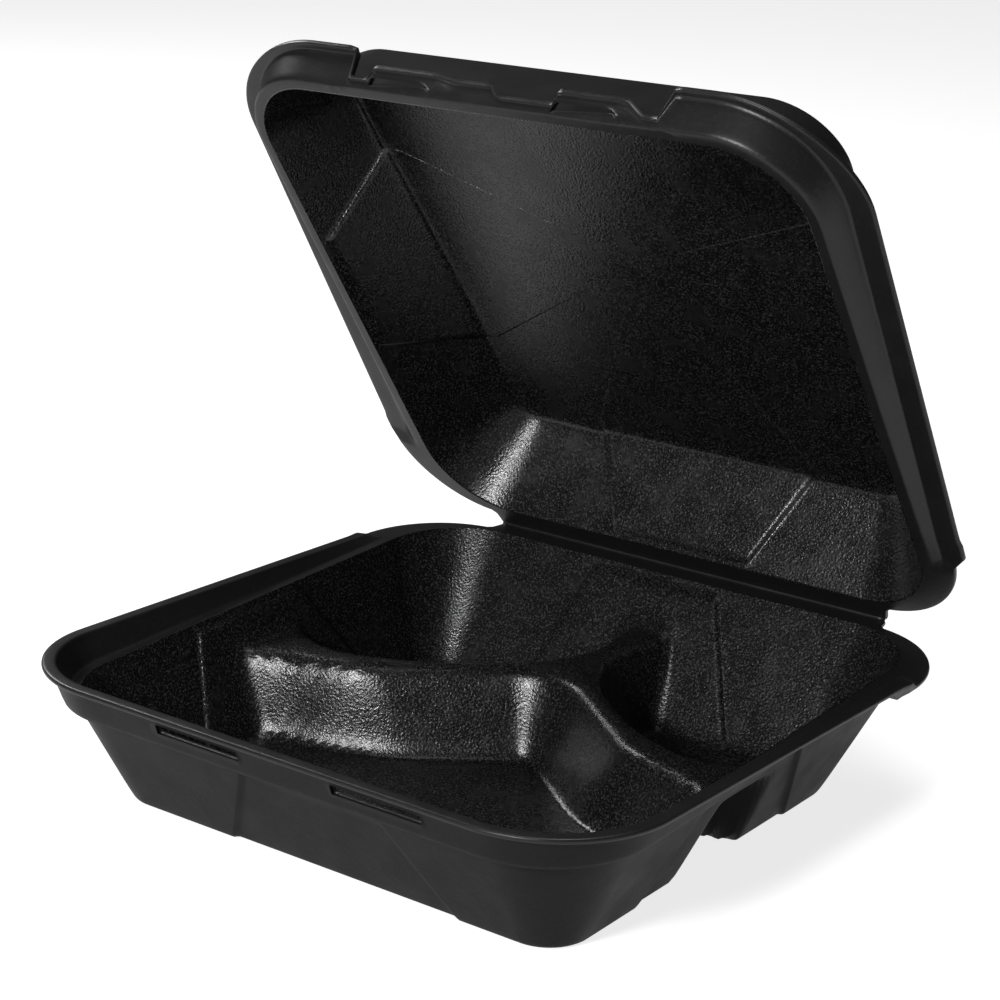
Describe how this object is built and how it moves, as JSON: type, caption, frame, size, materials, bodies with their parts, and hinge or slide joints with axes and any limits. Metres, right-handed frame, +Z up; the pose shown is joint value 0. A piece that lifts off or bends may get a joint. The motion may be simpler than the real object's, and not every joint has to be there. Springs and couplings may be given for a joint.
{
  "type": "foam clamshell container",
  "caption": "Hinged foam takeaway container with a divided tray base, a domed lid on a living hinge, nested rims and a tab latch at the front.",
  "frame": {"origin": "middle of the tray, between the hinge line and the front rim, on the plane the floors stand on", "axes": "+Z up, +X along the hinge to the right seen from the front, -Y to the front, where the lid opens"},
  "size_m": [0.241, 0.2431, 0.2431],
  "materials": {
    "base_foam": "black foam sheet, satin outside and grainy gloss inside",
    "lid_foam": "black foam sheet, satin"
  },
  "bodies": {
    "base": {"base_tray": "base_foam"},
    "lid": {"lid": "lid_foam"}
  },
  "joints": [
    {"name": "lid_hinge", "type": "hinge", "parent": "base", "child": "lid", "pos_m": [0, 0.1156, 0.049], "axis": [-1, 0, 0], "range_deg": [-57.3, 122.7]}
  ]
}
